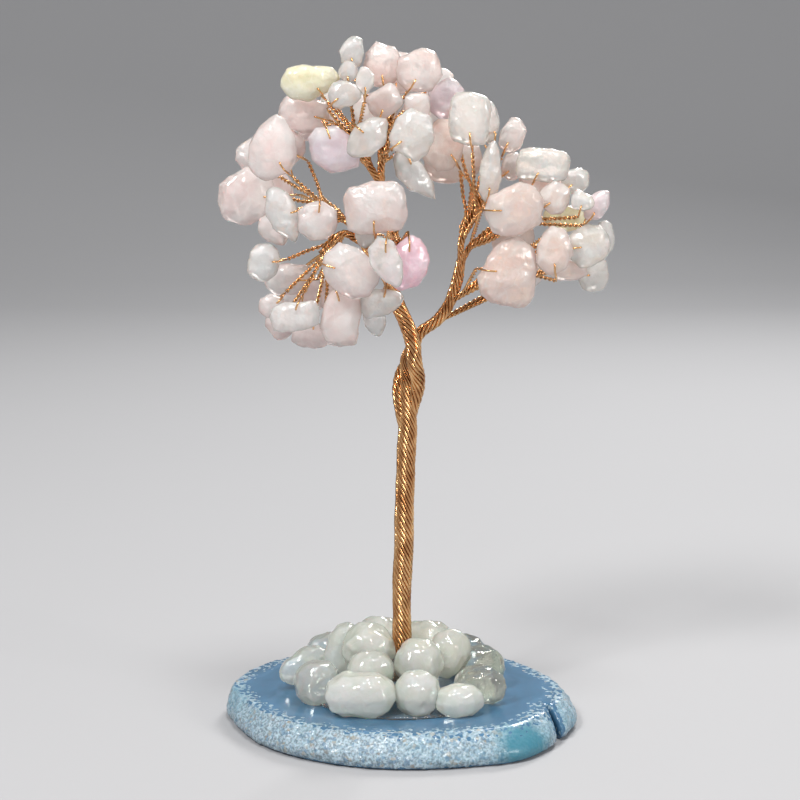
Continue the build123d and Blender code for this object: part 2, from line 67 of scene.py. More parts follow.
# The crown's measure, as in the part: stone lengths across and up, and layers in depth
CROWN_MIDDLE = Vector((1.8, 0, 85.2)) * MM
STONE_LENGTH = 11.0 * MM
LAYER_DEPTH = 6.6 * MM
TRUNK_FOOT = Vector((0, 0, 7.1)) * MM
TRUNK_BEND = Vector((0.45, 0, 44.0)) * MM
FORK = Vector((1.8, 0, 81.0)) * MM
TRUNK_DIAMETER = 4.4 * MM
CAD_WIRE = 0.32 * MM

# The slice: its crack, the glassy teal patch beside it and the marks of the granular rim
CRACK_MOUTH = Vector((35.0, -16.2, 3.5)) * MM
CRACK_SIDE = Vector((0.93, 0.36, 0.0))
CRACK_HALF_WIDTH = 1.6 * MM
CRACK_REACH = 15 * MM
CRACK_GRAINS = 0.25
TEAL_PATCH = Vector((27.0, -27.0, 2.5)) * MM
TEAL_REACH = 7 * MM
FLAT_NORMAL = 0.94
RIM_TURN = 0.2
RIM_LEAST_HEIGHT = 0.003
UNDERSIDE_HEIGHT = 0.0006
CREEP_SHARE = 0.62

# Ropes: what each grows from, how far along it, its diameter in millimetres and its points
ROPE_RUNS = {
    "left_bough": ("trunk", 1.0, 3.5, [(0.02, -0.4, 0.34), (-0.20, -0.12, 0.88), (-0.46, 0.0, 1.58)]),
    "right_bough": ("trunk", 1.0, 2.7,
                    [(0.16, 0.42, 0.28), (0.62, 0.25, 0.70), (0.96, 0.2, 1.45), (1.06, 0.2, 2.06)]),
    "left_limb": ("left_bough", 1.0, 2.3, [(-0.86, -0.45, 2.12), (-1.16, -0.3, 2.50)]),
    "top_limb": ("left_bough", 1.0, 2.35, [(-0.32, 0.7, 2.44), (-0.52, 0.5, 3.10), (-0.64, 0.3, 3.60)]),
}
STEM_RUNS = {
    "far_left": ("left_limb", 1.0, 1.5, [(-1.86, -0.1, 3.06)]),
    "low_left": ("left_limb", 1.0, 1.7, [(-1.74, -0.3, 1.96)]),
    "centre": ("left_bough", 0.80, 1.3, [(-0.26, -1.0, 2.36)]),
    "top_left": ("top_limb", 1.0, 1.6, [(-1.20, -0.2, 4.50)]),
    "top": ("top_limb", 1.0, 1.7, [(-0.40, 0.1, 4.66)]),
    "upper_right": ("right_bough", 1.0, 1.6, [(1.40, 0.1, 3.10)]),
    "right": ("right_bough", 1.0, 1.5, [(2.10, 0.7, 2.66)]),
    "low_right": ("right_bough", 0.62, 1.3, [(2.36, 0.4, 2.06)]),
    "lowest_right": ("right_bough", 0.40, 0.95, [(2.66, 0.5, 1.58)]),
}
ALL_RUNS = {**ROPE_RUNS, **STEM_RUNS}

# The trunk's bends in millimetres, each with how much the bundle swells there
TRUNK_ROWS = [
    ((0.0, 0.0, 7.2), 1.06), ((0.1, 0.0, 16.0), 1.0), ((0.0, 0.1, 30.0), 0.97),
    ((0.5, -0.1, 42.0), 1.05), ((0.6, 0.0, 52.0), 0.97), ((1.1, 0.1, 64.0), 1.0),
    ((1.3, 0.0, 71.0), 0.96), ((1.1, 0.0, 76.0), 0.84), ((0.9, 0.2, 80.0), 0.7),
    ((0.7, 0.5, 84.0), 0.45), ((1.4, 0.5, 86.5), 0.2),
]

# Where the boughs wind up out of the trunk, in millimetres
BOUGH_ROOTS = {
    "left_bough": [(0.9, 0.5, 65.5), (2.0, 0.1, 72.0), (3.5, -1.2, 78.5)],
    "right_bough": [(0.6, 0.3, 65.5), (-0.2, -0.4, 72.0), (-0.9, 0.0, 77.0), (0.3, 1.6, 81.2)],
}

# How far strands stray from a regular twist, as a size and a share of the strand, with a noise for each axis
STRAY_SIZE = 0.0045
STRAY_SHARE = 0.6
STRAY_NOISE = {"X": "BLENDER_ORIGINAL", "Y": "ORIGINAL_PERLIN", "Z": "IMPROVED_PERLIN"}

# Wires of the sprays: how much a loop is thickened, and the stem length that a pair needs to wind round it
LOOP_GROWTH = 0.05 * MM
WINDING_LENGTH = 2.5 * MM

# Stones: the size of their dents, and how much light the crown's and the pile's let through
CHIP_DENT = 0.0036
PEBBLE_DENT = 0.0042
CHIP_CLEARNESS = {"rose": 0.55, "clear": 0.62, "pink": 0.4, "cream": 0.36, "mauve": 0.55, "peach": 0.5}
PEBBLE_CLEARNESS = {"front": 0.56, "right": 0.9, "left": 0.74, "back": 0.56, "upper": 0.63}
PEBBLE_VEILS = {"front": 0.4, "right": 0.3, "left": 0.4, "back": 0.4, "upper": 0.5}

# Colours that belong to one look alone
STREAK_WHITE = (1.0, 0.98, 0.97)
# Painted highlight laid on the thin edges of the stones
PAINTED_EDGE_HIGHLIGHT = (1.0, 0.99, 0.98)
RIND_RUST = (0.30, 0.22, 0.12)
RIND_SHADOW = (0.12, 0.27, 0.35)
GLASSY_TEAL = (0.02, 0.17, 0.24)
GLUE_COOL = (0.90, 0.93, 0.95)
GLUE_WARM = (0.97, 0.97, 0.96)
SKY_COLOUR = (0.98, 0.97, 0.97)
LAMP_COLOUR = (1.0, 0.98, 0.955)

# Lamps: name, place, size and power in watts, all turned to one aim
LAMPS = (
    ("key", (-0.45, -0.60, 0.80), 0.22, 8.0),
    ("fill", (0.7, -0.5, 0.35), 0.22, 2.6),
    ("back", (0.25, 0.6, 0.6), 0.25, 4.5),
    ("top", (0.05, -0.25, 0.9), 0.2, 3.4),
)
LAMP_AIM = Vector((0, 0, 0.08))
CAMERA_PLACE = (-0.0004, -0.450, 0.1489)
CAMERA_DIP = 9.4


def length(name, description, default):
    return bpy.props.FloatProperty(name=name, description=description, default=default, unit="LENGTH",
                                   precision=5)


def fullness(name, description, default):
    return bpy.props.FloatProperty(name=name, description=description, default=default, min=1.0, max=1.2)


class GemTreeSizes(bpy.types.PropertyGroup):
    """Sizes that shape the wire and the stones"""
    wire: length("Wire", "Diameter of one wire of a pair", 0.0005)
    strand: length("Strand", "Diameter of one strand of the thick bundles", 0.00074)
    lay: bpy.props.FloatProperty(name="Lay", description="Slant of the wires in a twisted bundle",
                                 default=radians(27), subtype="ANGLE")
    pair_pitch: length("Pair pitch", "Length of one turn of a twisted pair", 0.0023)
    chip_voxel: length("Chip detail", "Mesh size on the stones of the crown", 0.0004)
    pebble_voxel: length("Pebble detail", "Mesh size on the pebbles and glue", 0.0005)
    slice_voxel: length("Slice detail", "Mesh size on the agate slice", 0.0005)
    chip_relief: length("Chip relief", "Depth of the dents on the stones", 0.0014)
    facets: bpy.props.IntProperty(name="Facets", default=58, min=12, max=200,
                                  description="Flat facets on each stone before it is worn smooth")
    chip_growth: fullness("Chip fullness", "Size of each stone against its solid", 1.09)
    pebble_growth: fullness("Pebble fullness", "Size of each pebble against its solid", 1.06)
    rind_relief: length("Rind relief", "Depth of the grains on the slice's rim", 0.0009)
    rind_creep: length("Rind creep", "How far grains creep on to the polished face", 0.0045)


def colour(name, description, default):
    return bpy.props.FloatVectorProperty(name=name, description=description, default=default, size=3,
                                         min=0, max=1, subtype="COLOR")


class GemTreeColours(bpy.types.PropertyGroup):
    """Colours of the wire, the stones and the stage"""
    copper: colour("Copper", "Bright face of the wire", (0.88, 0.54, 0.26))
    # Dark copper for random patches: partly handling wear, partly painted shade
    copper_dark: colour("Dark copper", "Handled and shaded wire", (0.46, 0.21, 0.08))
    rose: colour("Rose", "Pale rose stones", (0.98, 0.84, 0.81))
    clear: colour("Clear", "Clear stones", (0.99, 0.965, 0.93))
    pink: colour("Pink", "The deepest pink stone", (0.97, 0.66, 0.76))
    cream: colour("Cream", "Ivory stones", (0.90, 0.87, 0.64))
    mauve: colour("Mauve", "Lilac stones", (0.97, 0.84, 0.89))
    peach: colour("Peach", "Peach stones", (0.96, 0.79, 0.73))
    pebble: colour("Pebble", "Milky pebbles", (0.94, 1.0, 0.90))
    agate: colour("Agate", "Polished face of the slice", (0.060, 0.152, 0.258))
    rind: colour("Rind", "Granular rim of the slice", (0.36, 0.48, 0.56))
    floor: colour("Floor", "Floor and backdrop", (0.40, 0.405, 0.42))


def sizes():
    return bpy.context.scene.gem_tree_sizes


def colours():
    return bpy.context.scene.gem_tree_colours


# Modelling helpers

def deselect():
    if bpy.context.object and bpy.context.object.mode != "OBJECT":
        bpy.ops.object.mode_set(mode="OBJECT")
    bpy.ops.object.select_all(action="DESELECT")


def activate(piece):
    deselect()
    piece.select_set(True)
    bpy.context.view_layer.objects.active = piece


def edit_all():
    bpy.ops.object.mode_set(mode="EDIT")
    bpy.ops.mesh.select_all(action="SELECT")


def apply_modifier(piece, kind, **settings):
    activate(piece)
    bpy.ops.object.modifier_add(type=kind)
    modifier = piece.modifiers[-1]
    for key, value in settings.items():
        setattr(modifier, key, value)
    bpy.ops.object.modifier_apply(modifier=modifier.name)


def copy_of(node, name):
    """A copy of a CAD node's mesh with its corners merged, at rest in the row frame."""
    piece = bpy.data.objects.new(name, NODES[node].data.copy())
    bpy.context.collection.objects.link(piece)
    piece.data.materials.clear()
    activate(piece)
    edit_all()
    bpy.ops.mesh.remove_doubles(threshold=1e-6)
    bpy.ops.object.mode_set(mode="OBJECT")
    return piece


def join(pieces, name):
    deselect()
    for piece in pieces:
        piece.select_set(True)
    bpy.context.view_layer.objects.active = pieces[0]
    bpy.ops.object.join()
    whole = bpy.context.object
    whole.name = name
    whole.data.name = name
    return whole


def dress(piece, material):
    piece.data.materials.clear()
    piece.data.materials.append(material)
    for face in piece.data.polygons:
        face.material_index = 0


def press(piece, name, size, depth, noise="BLENDER_ORIGINAL", **settings):
    """Presses a procedural relief of soft clouds into a piece."""
    relief = bpy.data.textures.get(name) or bpy.data.textures.new(name, "CLOUDS")
    relief.noise_scale = size
    relief.noise_basis = noise
    apply_modifier(piece, "DISPLACE", texture=relief, texture_coords="LOCAL", strength=depth, mid_level=0.5,
                   **settings)


# Twisted wire

def crown_point(row):
    across, depth, up = row
    return CROWN_MIDDLE + Vector((across * STONE_LENGTH, depth * LAYER_DEPTH, up * STONE_LENGTH))


def pivot(name):
    return Vector(JOINTS[f"{name}_bend"]["pos_m"])


def run_points(name):
    if name == "trunk":
        return [TRUNK_FOOT, TRUNK_BEND, FORK]
    return [pivot(name)] + [crown_point(row) for row in ALL_RUNS[name][3]]


def path_length(points):
    return sum((b - a).length for a, b in zip(points, points[1:]))


def spot(points, share):
    """The point a share of the way along a run, and the way the run points there."""
    legs = [(b - a).length for a, b in zip(points, points[1:])]
    left = share * sum(legs)
    for a, b, leg in zip(points, points[1:], legs):
        if left <= leg or b is points[-1]:
            return a.lerp(b, left / leg), (b - a).normalized()
        left -= leg


def bent_path(points, swell):
    """A smooth curve through points, with a swelling at each of them."""
    deselect()
    bpy.ops.curve.primitive_bezier_curve_add(location=(0, 0, 0))
    path = bpy.context.object
    spline = path.data.splines[0]
    spline.bezier_points.add(len(points) - 2)
    for knot, point, size in zip(spline.bezier_points, points, swell):
        knot.co = point
        knot.handle_left_type = "AUTO"
        knot.handle_right_type = "AUTO"
        knot.radius = size
    path.data.resolution_u = 20
    path.data.use_stretch = True
    path.data.use_deform_bounds = True
    path.data.use_radius = True
    return path


def wire_ring(count, ring_radius, wire_radius, corners=6):
    """End circles of a ring of wires, set round the X axis."""
    deselect()
    bpy.ops.mesh.primitive_circle_add(vertices=corners, radius=wire_radius, location=(0, 0, ring_radius),
                                      rotation=(0, pi / 2, 0))
    piece = bpy.context.object
    bpy.ops.object.transform_apply(location=True, rotation=True, scale=True)
    if count > 1:
        edit_all()
        bpy.ops.mesh.spin(steps=count - 1, dupli=True, angle=tau * (count - 1) / count, center=(0, 0, 0),
                          axis=(1, 0, 0))
        bpy.ops.object.mode_set(mode="OBJECT")
    return piece


def twist_along(piece, length, turns, steps, path):
    """Draws the end circles out into twisted wires and lays them along a path."""
    apply_modifier(piece, "SCREW", axis="X", angle=-turns * tau, screw_offset=length, steps=steps,
                   render_steps=steps, use_smooth_shade=True)
    edit_all()
    bpy.ops.mesh.fill_holes(sides=0)
    bpy.ops.mesh.select_all(action="SELECT")
    bpy.ops.mesh.normals_make_consistent(inside=False)
    bpy.ops.object.mode_set(mode="OBJECT")
    apply_modifier(piece, "CURVE", object=path, deform_axis="POS_X")
    bpy.data.objects.remove(path)
    return piece


def twisted_rope(name, points, swell, diameter, filled=True):
    """A bundle of twisted strands round a core, along a smooth path."""
    strand = min(sizes().strand, diameter * 0.36)
    ring = (diameter - strand) / 2
    count = max(4, round(tau * ring * cos(sizes().lay) / (strand * 0.94)))
    reach = path_length(points)
    turns = reach * tan(sizes().lay) / (tau * ring)
    bundle = wire_ring(count, ring, strand * 0.5, corners=8)
    if filled:
        bundle = join([bundle, wire_ring(1, 0, ring, corners=10)], name)
    bundle.name = name
    twist_along(bundle, reach, turns, max(14, round(reach / MM * 1.5)), bent_path(points, swell))
    for axis, noise in STRAY_NOISE.items():
        press(bundle, f"stray wires {axis}", STRAY_SIZE, strand * STRAY_SHARE, noise, direction=axis)
    return bundle


# Materials

def new_material(name):
    material = bpy.data.materials.new(name)
    material.use_nodes = True
    tree = material.node_tree
    return material, tree.nodes, tree.links, tree.nodes["Principled BSDF"]


def mottle_group():
    """Soft clouds, fine grains and a bumped normal on object coordinates."""
    found = bpy.data.node_groups.get("Mottle")
    if found:
        return found
    group = bpy.data.node_groups.new("Mottle", "ShaderNodeTree")
    for label, default in (("Cloud size", 250.0), ("Grain size", 1400.0), ("Bump", 0.1)):
        socket = group.interface.new_socket(label, in_out="INPUT", socket_type="NodeSocketFloat")
        socket.default_value = default
    for label in ("Clouds", "Grains", "Veins"):
        group.interface.new_socket(label, in_out="OUTPUT", socket_type="NodeSocketFloat")
    group.interface.new_socket("Normal", in_out="OUTPUT", socket_type="NodeSocketVector")
    nodes, links = group.nodes, group.links
    entry = nodes.new("NodeGroupInput")
    leave = nodes.new("NodeGroupOutput")
    place = nodes.new("ShaderNodeTexCoord")
    clouds = nodes.new("ShaderNodeTexNoise")
    clouds.inputs["Detail"].default_value = 4
    grains = nodes.new("ShaderNodeTexNoise")
    grains.inputs["Detail"].default_value = 0.6
    veins = nodes.new("ShaderNodeTexVoronoi")
    veins.feature = "DISTANCE_TO_EDGE"
    warp = nodes.new("ShaderNodeMix")
    warp.data_type = "VECTOR"
    warp.inputs["Factor"].default_value = 0.006
    bump = nodes.new("ShaderNodeBump")
    bump.inputs["Distance"].default_value = 0.0006
    patches = nodes.new("ShaderNodeMapRange")
    patches.inputs["From Min"].default_value = 0.42
    patches.inputs["From Max"].default_value = 0.64
    patches.inputs["To Min"].default_value = 0.25
    patches.inputs["To Max"].default_value = 1.3
    height = nodes.new("ShaderNodeMath")
    height.operation = "MULTIPLY_ADD"
    links.new(place.outputs["Object"], clouds.inputs["Vector"])
    links.new(place.outputs["Object"], grains.inputs["Vector"])
    links.new(place.outputs["Object"], warp.inputs["A"])
    links.new(clouds.outputs["Color"], warp.inputs["B"])
    links.new(warp.outputs["Result"], veins.inputs["Vector"])
    links.new(entry.outputs["Cloud size"], clouds.inputs["Scale"])
    links.new(entry.outputs["Cloud size"], veins.inputs["Scale"])
    links.new(entry.outputs["Grain size"], grains.inputs["Scale"])
    links.new(clouds.outputs["Fac"], patches.inputs["Value"])
    links.new(grains.outputs["Fac"], height.inputs[0])
    links.new(patches.outputs["Result"], height.inputs[1])
    links.new(clouds.outputs["Fac"], height.inputs[2])
    links.new(height.outputs[0], bump.inputs["Height"])
    links.new(entry.outputs["Bump"], bump.inputs["Strength"])
    links.new(clouds.outputs["Fac"], leave.inputs["Clouds"])
    links.new(grains.outputs["Fac"], leave.inputs["Grains"])
    links.new(veins.outputs["Distance"], leave.inputs["Veins"])
    links.new(bump.outputs["Normal"], leave.inputs["Normal"])
    return group


def add_mottle(nodes, cloud_size, grain_size, bump):
    mottle = nodes.new("ShaderNodeGroup")
    mottle.node_tree = mottle_group()
    mottle.inputs["Cloud size"].default_value = cloud_size
    mottle.inputs["Grain size"].default_value = grain_size
    mottle.inputs["Bump"].default_value = bump
    return mottle


def ramp(nodes, stops):
    node = nodes.new("ShaderNodeValToRGB")
    band = node.color_ramp
    while len(band.elements) < len(stops):
        band.elements.new(0.5)
    for element, (place, shade) in zip(band.elements, stops):
        element.position = place
        element.color = (*shade, 1)
    return node


def mixed(nodes, links, factor, first, second):
    node = nodes.new("ShaderNodeMix")
    node.data_type = "RGBA"
    links.new(factor, node.inputs["Factor"])
    for value, socket in ((first, node.inputs["A"]), (second, node.inputs["B"])):
        if hasattr(value, "node"):
            links.new(value, socket)
        else:
            socket.default_value = (*value, 1)
    return node.outputs["Result"]


def spread(nodes, links, value, low, high, from_low=0.0, from_high=1.0):
    node = nodes.new("ShaderNodeMapRange")
    node.inputs["From Min"].default_value = from_low
    node.inputs["From Max"].default_value = from_high
    node.inputs["To Min"].default_value = low
    node.inputs["To Max"].default_value = high
    links.new(value, node.inputs["Value"])
    return node.outputs["Result"]


def copper_finish(name="copper wire", darkness=1.0):
    """Bright drawn copper wire, darker and duller in random patches that stand partly for handling wear and
    partly for painted shade.
    """
    found = bpy.data.materials.get(name)
    if found:
        return found
    material, nodes, links, shader = new_material(name)
    mottle = add_mottle(nodes, 300, 2600, 0.015)
    # Painted shade and handling wear: random cloud patches turn the copper dark
    wear_and_shade = spread(nodes, links, mottle.outputs["Clouds"], 0, darkness, 0.36, 0.66)
    links.new(mixed(nodes, links, wear_and_shade, tuple(colours().copper), tuple(colours().copper_dark)),
              shader.inputs["Base Color"])
    dull = spread(nodes, links, mottle.outputs["Clouds"], 0.10, 0.22, 0.3, 0.7)
    links.new(dull, shader.inputs["Roughness"])
    links.new(mottle.outputs["Normal"], shader.inputs["Normal"])
    shader.inputs["Metallic"].default_value = 1.0
    return material


def quartz_finish(name, tint, clearness, veil, pitted, depth):
    """Tumbled quartz: glossy, with milky clouds, faint streaks and small pits, a painted shade that deepens
    the tint towards the outline and a painted highlight on the thin edges.
    """
    found = bpy.data.materials.get(name)
    if found:
        return found
    material, nodes, links, shader = new_material(name)
    mottle = add_mottle(nodes, 210, 800, pitted)
    place = nodes.new("ShaderNodeTexCoord")
    sides = nodes.new("ShaderNodeSeparateXYZ")
    links.new(place.outputs["Object"], sides.inputs["Vector"])
    drift = nodes.new("ShaderNodeTexNoise")
    drift.inputs["Scale"].default_value = 85
    drift.inputs["Detail"].default_value = 1
    links.new(place.outputs["Object"], drift.inputs["Vector"])
    cool = tuple(channel * change for channel, change in zip(tint, (1.0, 0.985, 1.0)))
    warm = tuple(channel * change for channel, change in zip(tint, (1.0, 0.965, 0.93)))
    body = mixed(nodes, links, spread(nodes, links, sides.outputs["X"], 0, 1, -0.02, 0.03), cool, warm)
    pale = tuple(channel + (1.0 - channel) * 0.6 for channel in tint)
    body = mixed(nodes, links, spread(nodes, links, drift.outputs["Fac"], 0, 0.8, 0.42, 0.66), body, pale)
    cloud = spread(nodes, links, mottle.outputs["Clouds"], 0.5, 0, 0.3, 0.55)
    body = mixed(nodes, links, cloud, body, tuple(channel * depth for channel in tint))
    streak = spread(nodes, links, mottle.outputs["Veins"], veil, 0, 0.0, 0.05)
    body = mixed(nodes, links, streak, body, STREAK_WHITE)
    edge = nodes.new("ShaderNodeLayerWeight")
    edge.inputs["Blend"].default_value = 0.5
    # Painted shade: the tint deepens towards the outline, where the view passes through more stone
    thick = spread(nodes, links, edge.outputs["Facing"], 0, 0.6, 0.25, 0.68)
    body = mixed(nodes, links, thick, body, tuple(channel * depth for channel in warm))
    # Painted highlight: where the stone is seen edge-on, its thin edges turn nearly white
    thin = spread(nodes, links, edge.outputs["Facing"], 0, 0.95, 0.74, 0.92)
    links.new(mixed(nodes, links, thin, body, PAINTED_EDGE_HIGHLIGHT), shader.inputs["Base Color"])
    dull = spread(nodes, links, mottle.outputs["Grains"], 0.04, 0.10, 0.35, 0.7)
    links.new(dull, shader.inputs["Roughness"])
    links.new(mottle.outputs["Normal"], shader.inputs["Normal"])
    shader.inputs["IOR"].default_value = 1.54
    shader.inputs["Transmission Weight"].default_value = clearness
    shader.inputs["Subsurface Weight"].default_value = 0.8
    shader.inputs["Subsurface Scale"].default_value = 0.0035
    shader.inputs["Subsurface Radius"].default_value = (1.0, 0.85, 0.85)
    return material


def chip_finish(tint):
    pitted = 0.5 if tint == "clear" else 0.36
    shade = tuple(getattr(colours(), tint))
    return quartz_finish(f"{tint} quartz", shade, CHIP_CLEARNESS[tint], veil=0.3, pitted=pitted, depth=0.84)


def pebble_finish(side):
    milky = tuple(colours().pebble)
    return quartz_finish(f"{side} pebble quartz", milky, PEBBLE_CLEARNESS[side], PEBBLE_VEILS[side],
                         pitted=0.3, depth=0.78)


def agate_finish():
    """Dyed agate: a polished, banded blue face, a granular pale rim and a glassy teal patch by the crack."""
    blue = tuple(colours().agate)
    rind = tuple(colours().rind)
    material, nodes, links, shader = new_material("blue agate")
    mottle = add_mottle(nodes, 70, 900, 0.02)
    place = nodes.new("ShaderNodeTexCoord")
    bands = nodes.new("ShaderNodeTexWave")
    bands.wave_type = "RINGS"
    bands.rings_direction = "Z"
    bands.inputs["Scale"].default_value = 30
    bands.inputs["Distortion"].default_value = 9
    bands.inputs["Detail"].default_value = 3
    bands.inputs["Detail Scale"].default_value = 1.4
    links.new(place.outputs["Object"], bands.inputs["Vector"])
    dark = tuple(channel * 0.82 for channel in blue)
    light = tuple(channel * 1.25 + 0.012 for channel in blue)
    banding = ramp(nodes, [(0.0, dark), (0.35, blue), (0.7, blue), (1.0, light)])
    links.new(bands.outputs["Fac"], banding.inputs["Fac"])
    cloudy = mixed(nodes, links, spread(nodes, links, mottle.outputs["Clouds"], 0, 0.8, 0.3, 0.7),
                   banding.outputs["Color"], blue)
    grains = nodes.new("ShaderNodeTexVoronoi")
    grains.inputs["Scale"].default_value = 1250
    links.new(place.outputs["Object"], grains.inputs["Vector"])
    sand = nodes.new("ShaderNodeTexNoise")
    sand.inputs["Scale"].default_value = 1900
    sand.inputs["Detail"].default_value = 2
    links.new(place.outputs["Object"], sand.inputs["Vector"])
    shade = tuple(channel * 0.42 for channel in rind)
    drusy = mixed(nodes, links, spread(nodes, links, sand.outputs["Fac"], 0, 1, 0.36, 0.6), shade, rind)
    speckle = nodes.new("ShaderNodeSeparateColor")
    links.new(grains.outputs["Color"], speckle.inputs["Color"])
    blue_grains = spread(nodes, links, speckle.outputs["Red"], 0, 0.6, 0.72, 0.95)
    drusy = mixed(nodes, links, blue_grains, drusy, blue)
    rusty_grains = spread(nodes, links, speckle.outputs["Green"], 0, 0.45, 0.93, 0.97)
    drusy = mixed(nodes, links, rusty_grains, drusy, RIND_RUST)
    shadows = spread(nodes, links, mottle.outputs["Clouds"], 0, 0.5, 0.5, 0.68)
    drusy = mixed(nodes, links, shadows, drusy, RIND_SHADOW)
    rim = nodes.new("ShaderNodeAttribute")
    rim.attribute_name = "rim"
    reach = nodes.new("ShaderNodeMath")
    reach.operation = "MULTIPLY_ADD"
    reach.inputs[1].default_value = -0.85
    links.new(speckle.outputs["Blue"], reach.inputs[0])
    links.new(rim.outputs["Fac"], reach.inputs[2])
    cover = spread(nodes, links, reach.outputs[0], 0, 1, 0.0, 0.08)
    surface = mixed(nodes, links, cover, cloudy, drusy)
    patch = nodes.new("ShaderNodeVectorMath")
    patch.operation = "DISTANCE"
    patch.inputs[1].default_value = tuple(TEAL_PATCH)
    links.new(place.outputs["Object"], patch.inputs[0])
    teal = spread(nodes, links, patch.outputs["Value"], 0.9, 0, 0.0045, 0.0095)
    teal_rim = nodes.new("ShaderNodeMath")
    teal_rim.operation = "MULTIPLY"
    links.new(teal, teal_rim.inputs[0])
    links.new(cover, teal_rim.inputs[1])
    surface = mixed(nodes, links, teal_rim.outputs[0], surface, GLASSY_TEAL)
    links.new(surface, shader.inputs["Base Color"])
    links.new(spread(nodes, links, cover, 0.17, 0.45), shader.inputs["Roughness"])
    links.new(mottle.outputs["Normal"], shader.inputs["Normal"])
    shader.inputs["Subsurface Weight"].default_value = 0.08
    shader.inputs["Subsurface Scale"].default_value = 0.002
    shader.inputs["Coat Weight"].default_value = 0.2
    shader.inputs["Coat Roughness"].default_value = 0.05
    return material


def glue_finish():
    """Clear hard glue with faint ripples and a few dull smears."""
    material, nodes, links, shader = new_material("clear glue")
    mottle = add_mottle(nodes, 180, 900, 0.08)
    body = mixed(nodes, links, mottle.outputs["Clouds"], GLUE_COOL, GLUE_WARM)
    links.new(body, shader.inputs["Base Color"])
    smears = spread(nodes, links, mottle.outputs["Clouds"], 0.03, 0.2, 0.4, 0.7)
    links.new(smears, shader.inputs["Roughness"])
    links.new(mottle.outputs["Normal"], shader.inputs["Normal"])
    shader.inputs["IOR"].default_value = 1.46
    shader.inputs["Transmission Weight"].default_value = 0.95
    return material


# Pieces

def loose_parts(piece):
    activate(piece)
    edit_all()
    bpy.ops.mesh.separate(type="LOOSE")
    bpy.ops.object.mode_set(mode="OBJECT")
    return list(bpy.context.selected_objects)


def tumbled_copy(node, name, voxel, relief, size, growth, facets):
    """A CAD stone group, each stone a little fuller, broken to flat facets, then dented and smoothed."""
    stones = loose_parts(copy_of(node, name))
    bpy.ops.object.origin_set(type="ORIGIN_GEOMETRY", center="BOUNDS")
    for stone in stones:
        stone.scale = (growth, growth, growth)
    bpy.ops.object.transform_apply(location=True, rotation=True, scale=True)
    for stone in stones:
        activate(stone)
        edit_all()
        bpy.ops.mesh.convex_hull()
        bpy.ops.object.mode_set(mode="OBJECT")
        apply_modifier(stone, "DECIMATE", ratio=min(1.0, facets / len(stone.data.polygons)))
        apply_modifier(stone, "REMESH", mode="VOXEL", voxel_size=voxel)
        apply_modifier(stone, "SMOOTH", factor=0.5, iterations=3)
        press(stone, "broad dents", size, relief)
        press(stone, "small dents", size * 0.36, relief * 0.25)
        apply_modifier(stone, "SMOOTH", factor=0.5, iterations=2)
    piece = join(stones, name)
    bpy.ops.object.shade_smooth()
    return piece


class GEMTREE_OT_agate(bpy.types.Operator):
    """Model the agate slice with its granular rim"""
    bl_idname = "gem_tree.agate"
    bl_label = "Agate Slice"

    def execute(self, context):
        piece = copy_of("agate_slice", "agate_base")
        apply_modifier(piece, "REMESH", mode="VOXEL", voxel_size=sizes().slice_voxel)
        edge = KDTree(len(piece.data.vertices))
        slopes = []
        for vertex in piece.data.vertices:
            slopes.append(min(1.0, max(0.0, (FLAT_NORMAL - abs(vertex.normal.z)) / RIM_TURN)))
            if slopes[-1] > 0.5 and vertex.co.z > RIM_LEAST_HEIGHT:
                edge.insert(vertex.co, vertex.index)
        edge.balance()
        shares = []
        pushes = []
        for vertex, slope in zip(piece.data.vertices, slopes):
            creep = CREEP_SHARE * max(0.0, 1 - edge.find(vertex.co)[2] / sizes().rind_creep)
            from_crack = abs((vertex.co - CRACK_MOUTH).dot(CRACK_SIDE))
            open_rim = min(1.0, max(0.0, (from_crack - CRACK_HALF_WIDTH) / MM))
            if (vertex.co - CRACK_MOUTH).length > CRACK_REACH:
                open_rim = 1.0
            raised = vertex.co.z > UNDERSIDE_HEIGHT
            shares.append(max(slope, creep) * max(CRACK_GRAINS, open_rim) if raised else 0.0)
            glassy = min(1.0, (vertex.co - TEAL_PATCH).length / TEAL_REACH) ** 2
            pushes.append(slope * open_rim * glassy if raised else 0.0)
        grainy = piece.vertex_groups.new(name="grainy")
        for index, share in enumerate(pushes):
            if share > 0:
                grainy.add([index], share, "REPLACE")
        mask = piece.data.attributes.new("rim", "FLOAT", "POINT")
        mask.data.foreach_set("value", shares)
        press(piece, "rind grains", 0.0009, sizes().rind_relief, vertex_group="grainy")
        press(piece, "rind lumps", 0.005, sizes().rind_relief * 1.2, vertex_group="grainy")
        activate(piece)
        bpy.ops.object.shade_smooth()
        dress(piece, agate_finish())
        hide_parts("agate_slice")
        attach(piece, "base")
        return {"FINISHED"}


class GEMTREE_OT_glue(bpy.types.Operator):
    """Soften the clear glue round the trunk's foot"""
    bl_idname = "gem_tree.glue"
    bl_label = "Clear Glue"

    def execute(self, context):
        piece = copy_of("glue_bed", "clear_glue_bed")
        apply_modifier(piece, "REMESH", mode="VOXEL", voxel_size=sizes().pebble_voxel)
        apply_modifier(piece, "SMOOTH", factor=0.5, iterations=4)
        activate(piece)
        bpy.ops.object.shade_smooth()
        dress(piece, glue_finish())
        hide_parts("glue_bed")
        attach(piece, "base")
        NODES["root_wires"].data.materials.clear()
        NODES["root_wires"].data.materials.append(copper_finish())
        return {"FINISHED"}


